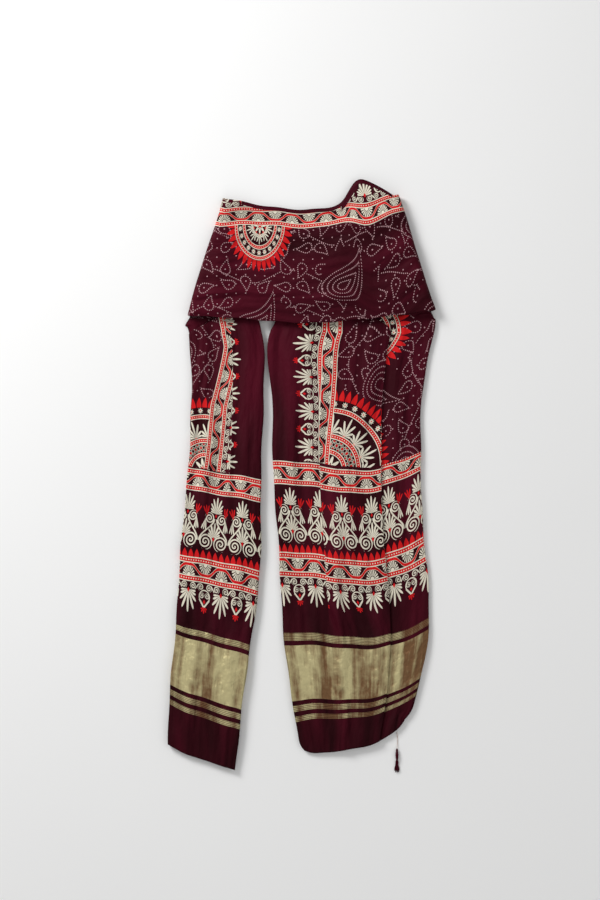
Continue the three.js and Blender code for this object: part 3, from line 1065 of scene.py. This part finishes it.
class DUPATTA_OT_tassel(bpy.types.Operator):
    """Lay the tassel on its thread at the corner of the wider end"""

    bl_idname = "dupatta.tassel"
    bl_label = "Corner Tassel"

    def execute(self, context):
        props = context.scene.dupatta_settings
        low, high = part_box("corner_tassel")
        middle = (low[0] + high[0]) / 2
        bm = bmesh.new()

        def at(down, beside, height):
            """A place below the corner, beside the middle and above the floor."""
            return Vector((middle + beside, high[1] - down, height))

        thread = [at(0, 0, 0.0011), at(0.010, 0.0008, 0.0009), at(0.020, 0.0010, 0.0009),
                  at(0.027, 0.0003, 0.0018), at(0.032, 0, 0.0028)]
        rod(bm, thread, 0.0006, 0.0005, 6, 1)
        # The head is a ball drawn out, with a waist where it is bound.
        head = bmesh.ops.create_uvsphere(bm, u_segments=20, v_segments=18, radius=1.0)
        for vert in head["verts"]:
            x, y, z = vert.co
            waist = 1 - 0.2 * math.exp(-(((z - 0.45) / 0.14) ** 2)) + 0.03 * math.sin(z * 60)
            vert.co = at(0.042 - 0.012 * z, x * 0.0028 * waist, 0.0029 + y * 0.0028 * waist)
            for face in vert.link_faces:
                face.smooth = True
        # The strands fan out and come to rest at three heights.
        for n in range(STRANDS):
            share = 2 * (n + 0.5) / STRANDS - 1
            height = 0.0006 + 0.0008 * ((n * 7) % 3)
            angle = 0.13 * share + 0.05 * math.sin(n * 5.1)
            length = 0.0235 * (1 - 0.1 * share * share + 0.1 * math.sin(n * 2.7))

            def strand_at(down, height):
                wave = 0.0005 * math.sin(down * 520 + n)
                beside = share * 0.0012 + down * math.sin(angle) + wave
                return at(0.049 + down * math.cos(angle), beside, height)

            strand = [strand_at(0, 0.0026), strand_at(0.006, 0.0016 + height / 2)]
            strand += [strand_at(down, height) for down in (0.012, 0.018, length)]
            rod(bm, strand, 0.00045, 0.0003, 4, 0)
        bmesh.ops.recalc_face_normals(bm, faces=bm.faces)
        tassel = new_piece("tassel", bm, [
            thread_material("tassel_thread", props.dark, props.ground, 900.0, 0.5, 0.0006, 0.75),
            thread_material("pale_thread", props.dots, props.cream, 1200.0, 0.4, 0.0004, 0.7),
        ])
        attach(tassel, "root")
        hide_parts("corner_tassel")
        return {"FINISHED"}


CAMERA_AIM = (-0.005, 0.0432, 0)
CAMERA_TILT = math.radians(4)
LENS = 85
WORLD_LIGHT = 0.36


class DUPATTA_OT_stage(bpy.types.Operator):
    """Set out the pale floor, the soft lights and the camera above the cloth"""

    bl_idname = "dupatta.stage"
    bl_label = "Stage"

    def execute(self, context):
        scene = context.scene
        props = scene.dupatta_stage
        bm = bmesh.new()
        bmesh.ops.create_grid(bm, x_segments=2, y_segments=2, size=6.0)
        bmesh.ops.translate(bm, verts=bm.verts, vec=(0, 0, -0.0005))
        floor = new_piece("floor", bm, [floor_material(props.floor)])
        for name, place, size, strength in (
            ("key_light", (-2.0, 1.9, 1.7), 1.2, props.key),
            ("fill_light", (1.9, -0.4, 2.2), 2.2, props.fill),
            ("low_light", (-0.4, -2.4, 2.0), 2.0, props.fill * 0.7),
        ):
            light = bpy.data.lights.new(name, "AREA")
            light.shape = "SQUARE"
            light.size = size
            light.energy = strength
            lamp = bpy.data.objects.new(name, light)
            lamp.location = place
            lamp.rotation_euler = (-Vector(place)).to_track_quat("-Z", "Y").to_euler()
            scene.collection.objects.link(lamp)
        world = bpy.data.worlds.new("soft_studio")
        world.use_nodes = True
        background = world.node_tree.nodes["Background"]
        background.inputs["Color"].default_value = (1, 1, 1, 1)
        background.inputs["Strength"].default_value = WORLD_LIGHT
        scene.world = world
        scene.view_settings.view_transform = "Standard"
        camera = bpy.data.objects.new("camera", bpy.data.cameras.new("camera"))
        camera.data.lens = LENS
        height = props.camera_height
        away = Vector((0, -math.sin(CAMERA_TILT) * height, math.cos(CAMERA_TILT) * height))
        camera.location = Vector(CAMERA_AIM) + away
        camera.rotation_euler = (CAMERA_TILT, 0, 0)
        scene.collection.objects.link(camera)
        scene.camera = camera
        return {"FINISHED"}


class DUPATTA_PT_panel(bpy.types.Panel):
    bl_label = "Dupatta"
    bl_idname = "DUPATTA_PT_panel"
    bl_space_type = "VIEW_3D"
    bl_region_type = "UI"
    bl_category = "Dupatta"

    def draw(self, context):
        layout = self.layout
        for settings in (context.scene.dupatta_settings, context.scene.dupatta_stage):
            for name in settings.__annotations__:
                layout.prop(settings, name)
        for operator in (DUPATTA_OT_cloth, DUPATTA_OT_tassel, DUPATTA_OT_stage):
            layout.operator(operator.bl_idname)


CLASSES = (
    DupattaSettings,
    StageSettings,
    DUPATTA_OT_cloth,
    DUPATTA_OT_tassel,
    DUPATTA_OT_stage,
    DUPATTA_PT_panel,
)


def register():
    for cls in CLASSES:
        bpy.utils.register_class(cls)
    bpy.types.Scene.dupatta_settings = PointerProperty(type=DupattaSettings)
    bpy.types.Scene.dupatta_stage = PointerProperty(type=StageSettings)


def unregister():
    del bpy.types.Scene.dupatta_stage
    del bpy.types.Scene.dupatta_settings
    for cls in reversed(CLASSES):
        bpy.utils.unregister_class(cls)


def main():
    register()
    bpy.ops.dupatta.cloth()
    bpy.ops.dupatta.tassel()
    bpy.ops.dupatta.stage()


if __name__ == "__main__":
    main()
